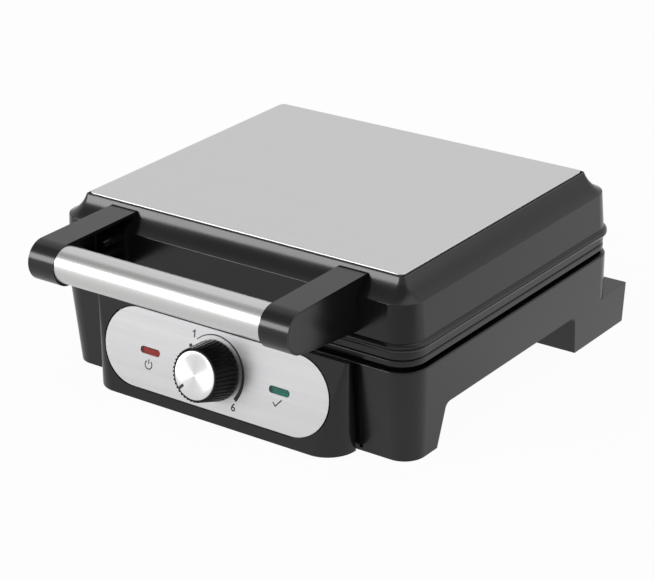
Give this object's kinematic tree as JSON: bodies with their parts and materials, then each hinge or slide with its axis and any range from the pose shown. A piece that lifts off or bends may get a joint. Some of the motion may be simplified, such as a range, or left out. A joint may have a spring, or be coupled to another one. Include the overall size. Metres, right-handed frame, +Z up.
{
  "type": "belgian waffle maker",
  "caption": "Square countertop waffle iron with deep studded grids, hinged lid, tube handle, tilted front console, temperature knob and two lamps.",
  "frame": {"origin": "middle of the outline, on the table that the rubber feet stand on", "axes": "+Z up, +Y from the handle at the front to the hinge, +X to the right"},
  "size_m": [0.2938, 0.341, 0.124],
  "materials": {
    "black_housing": "semi-gloss moulded black",
    "brushed_plate": "brushed along its length",
    "brushed_top": "brushed from side to side",
    "tube_steel": "fine brushed",
    "cap_aluminium": "spun",
    "black_knob": "satin",
    "red_lens": "clear tinted",
    "green_lens": "clear tinted",
    "white_holder": "heatproof",
    "lamp_glass": "clear",
    "zinc_metal": "zinc plated",
    "cast_plate": "dark non-stick coat",
    "element_sheath": "heat-darkened",
    "reflector_sheet": "plain sheet",
    "rubber_pad": "matt"
  },
  "bodies": {
    "base": {"base_housing": "black_housing", "console_shell": "black_housing", "control_plate": "brushed_plate", "power_lens": "red_lens", "ready_lens": "green_lens", "lamp_holders": "white_holder", "neon_lamps": "lamp_glass", "thermostat": "zinc_metal", "thermostat_nut": "zinc_metal", "base_frame": "black_housing", "lower_cooking_plate": "cast_plate", "lower_element": "element_sheath", "lower_reflector": "reflector_sheet", "lower_frame_screws": "zinc_metal", "lower_plate_screws": "zinc_metal", "lower_reflector_screws": "zinc_metal", "lower_thermal_fuse": "zinc_metal", "terminal_block": "white_holder", "rubber_feet": "rubber_pad", "console_screws": "zinc_metal", "cord_gland": "rubber_pad", "hinge_pins": "zinc_metal"},
    "lid": {"lid_cover": "black_housing", "lid_top_plate": "brushed_top", "lid_frame": "black_housing", "upper_cooking_plate": "cast_plate", "upper_element": "element_sheath", "upper_reflector": "reflector_sheet", "upper_frame_screws": "zinc_metal", "upper_plate_screws": "zinc_metal", "upper_reflector_screws": "zinc_metal", "upper_thermal_fuse": "zinc_metal", "handle_arm_left": "black_housing", "handle_arm_right": "black_housing", "arm_cover_left": "black_housing", "arm_cover_right": "black_housing", "handle_tube": "tube_steel", "arm_screws": "zinc_metal"},
    "knob": {"knob": "black_knob", "knob_cap": "cap_aluminium", "thermostat_shaft": "zinc_metal"}
  },
  "joints": [
    {"name": "lid_hinge", "type": "hinge", "parent": "base", "child": "lid", "pos_m": [0, 0.1565, 0.072], "axis": [-1, 0, 0], "range_deg": [0, 100]},
    {"name": "knob_turn", "type": "hinge", "parent": "base", "child": "knob", "pos_m": [0, -0.1151, 0.0369], "axis": [0, 0.9789, -0.2045], "range_deg": [0, 264]}
  ]
}
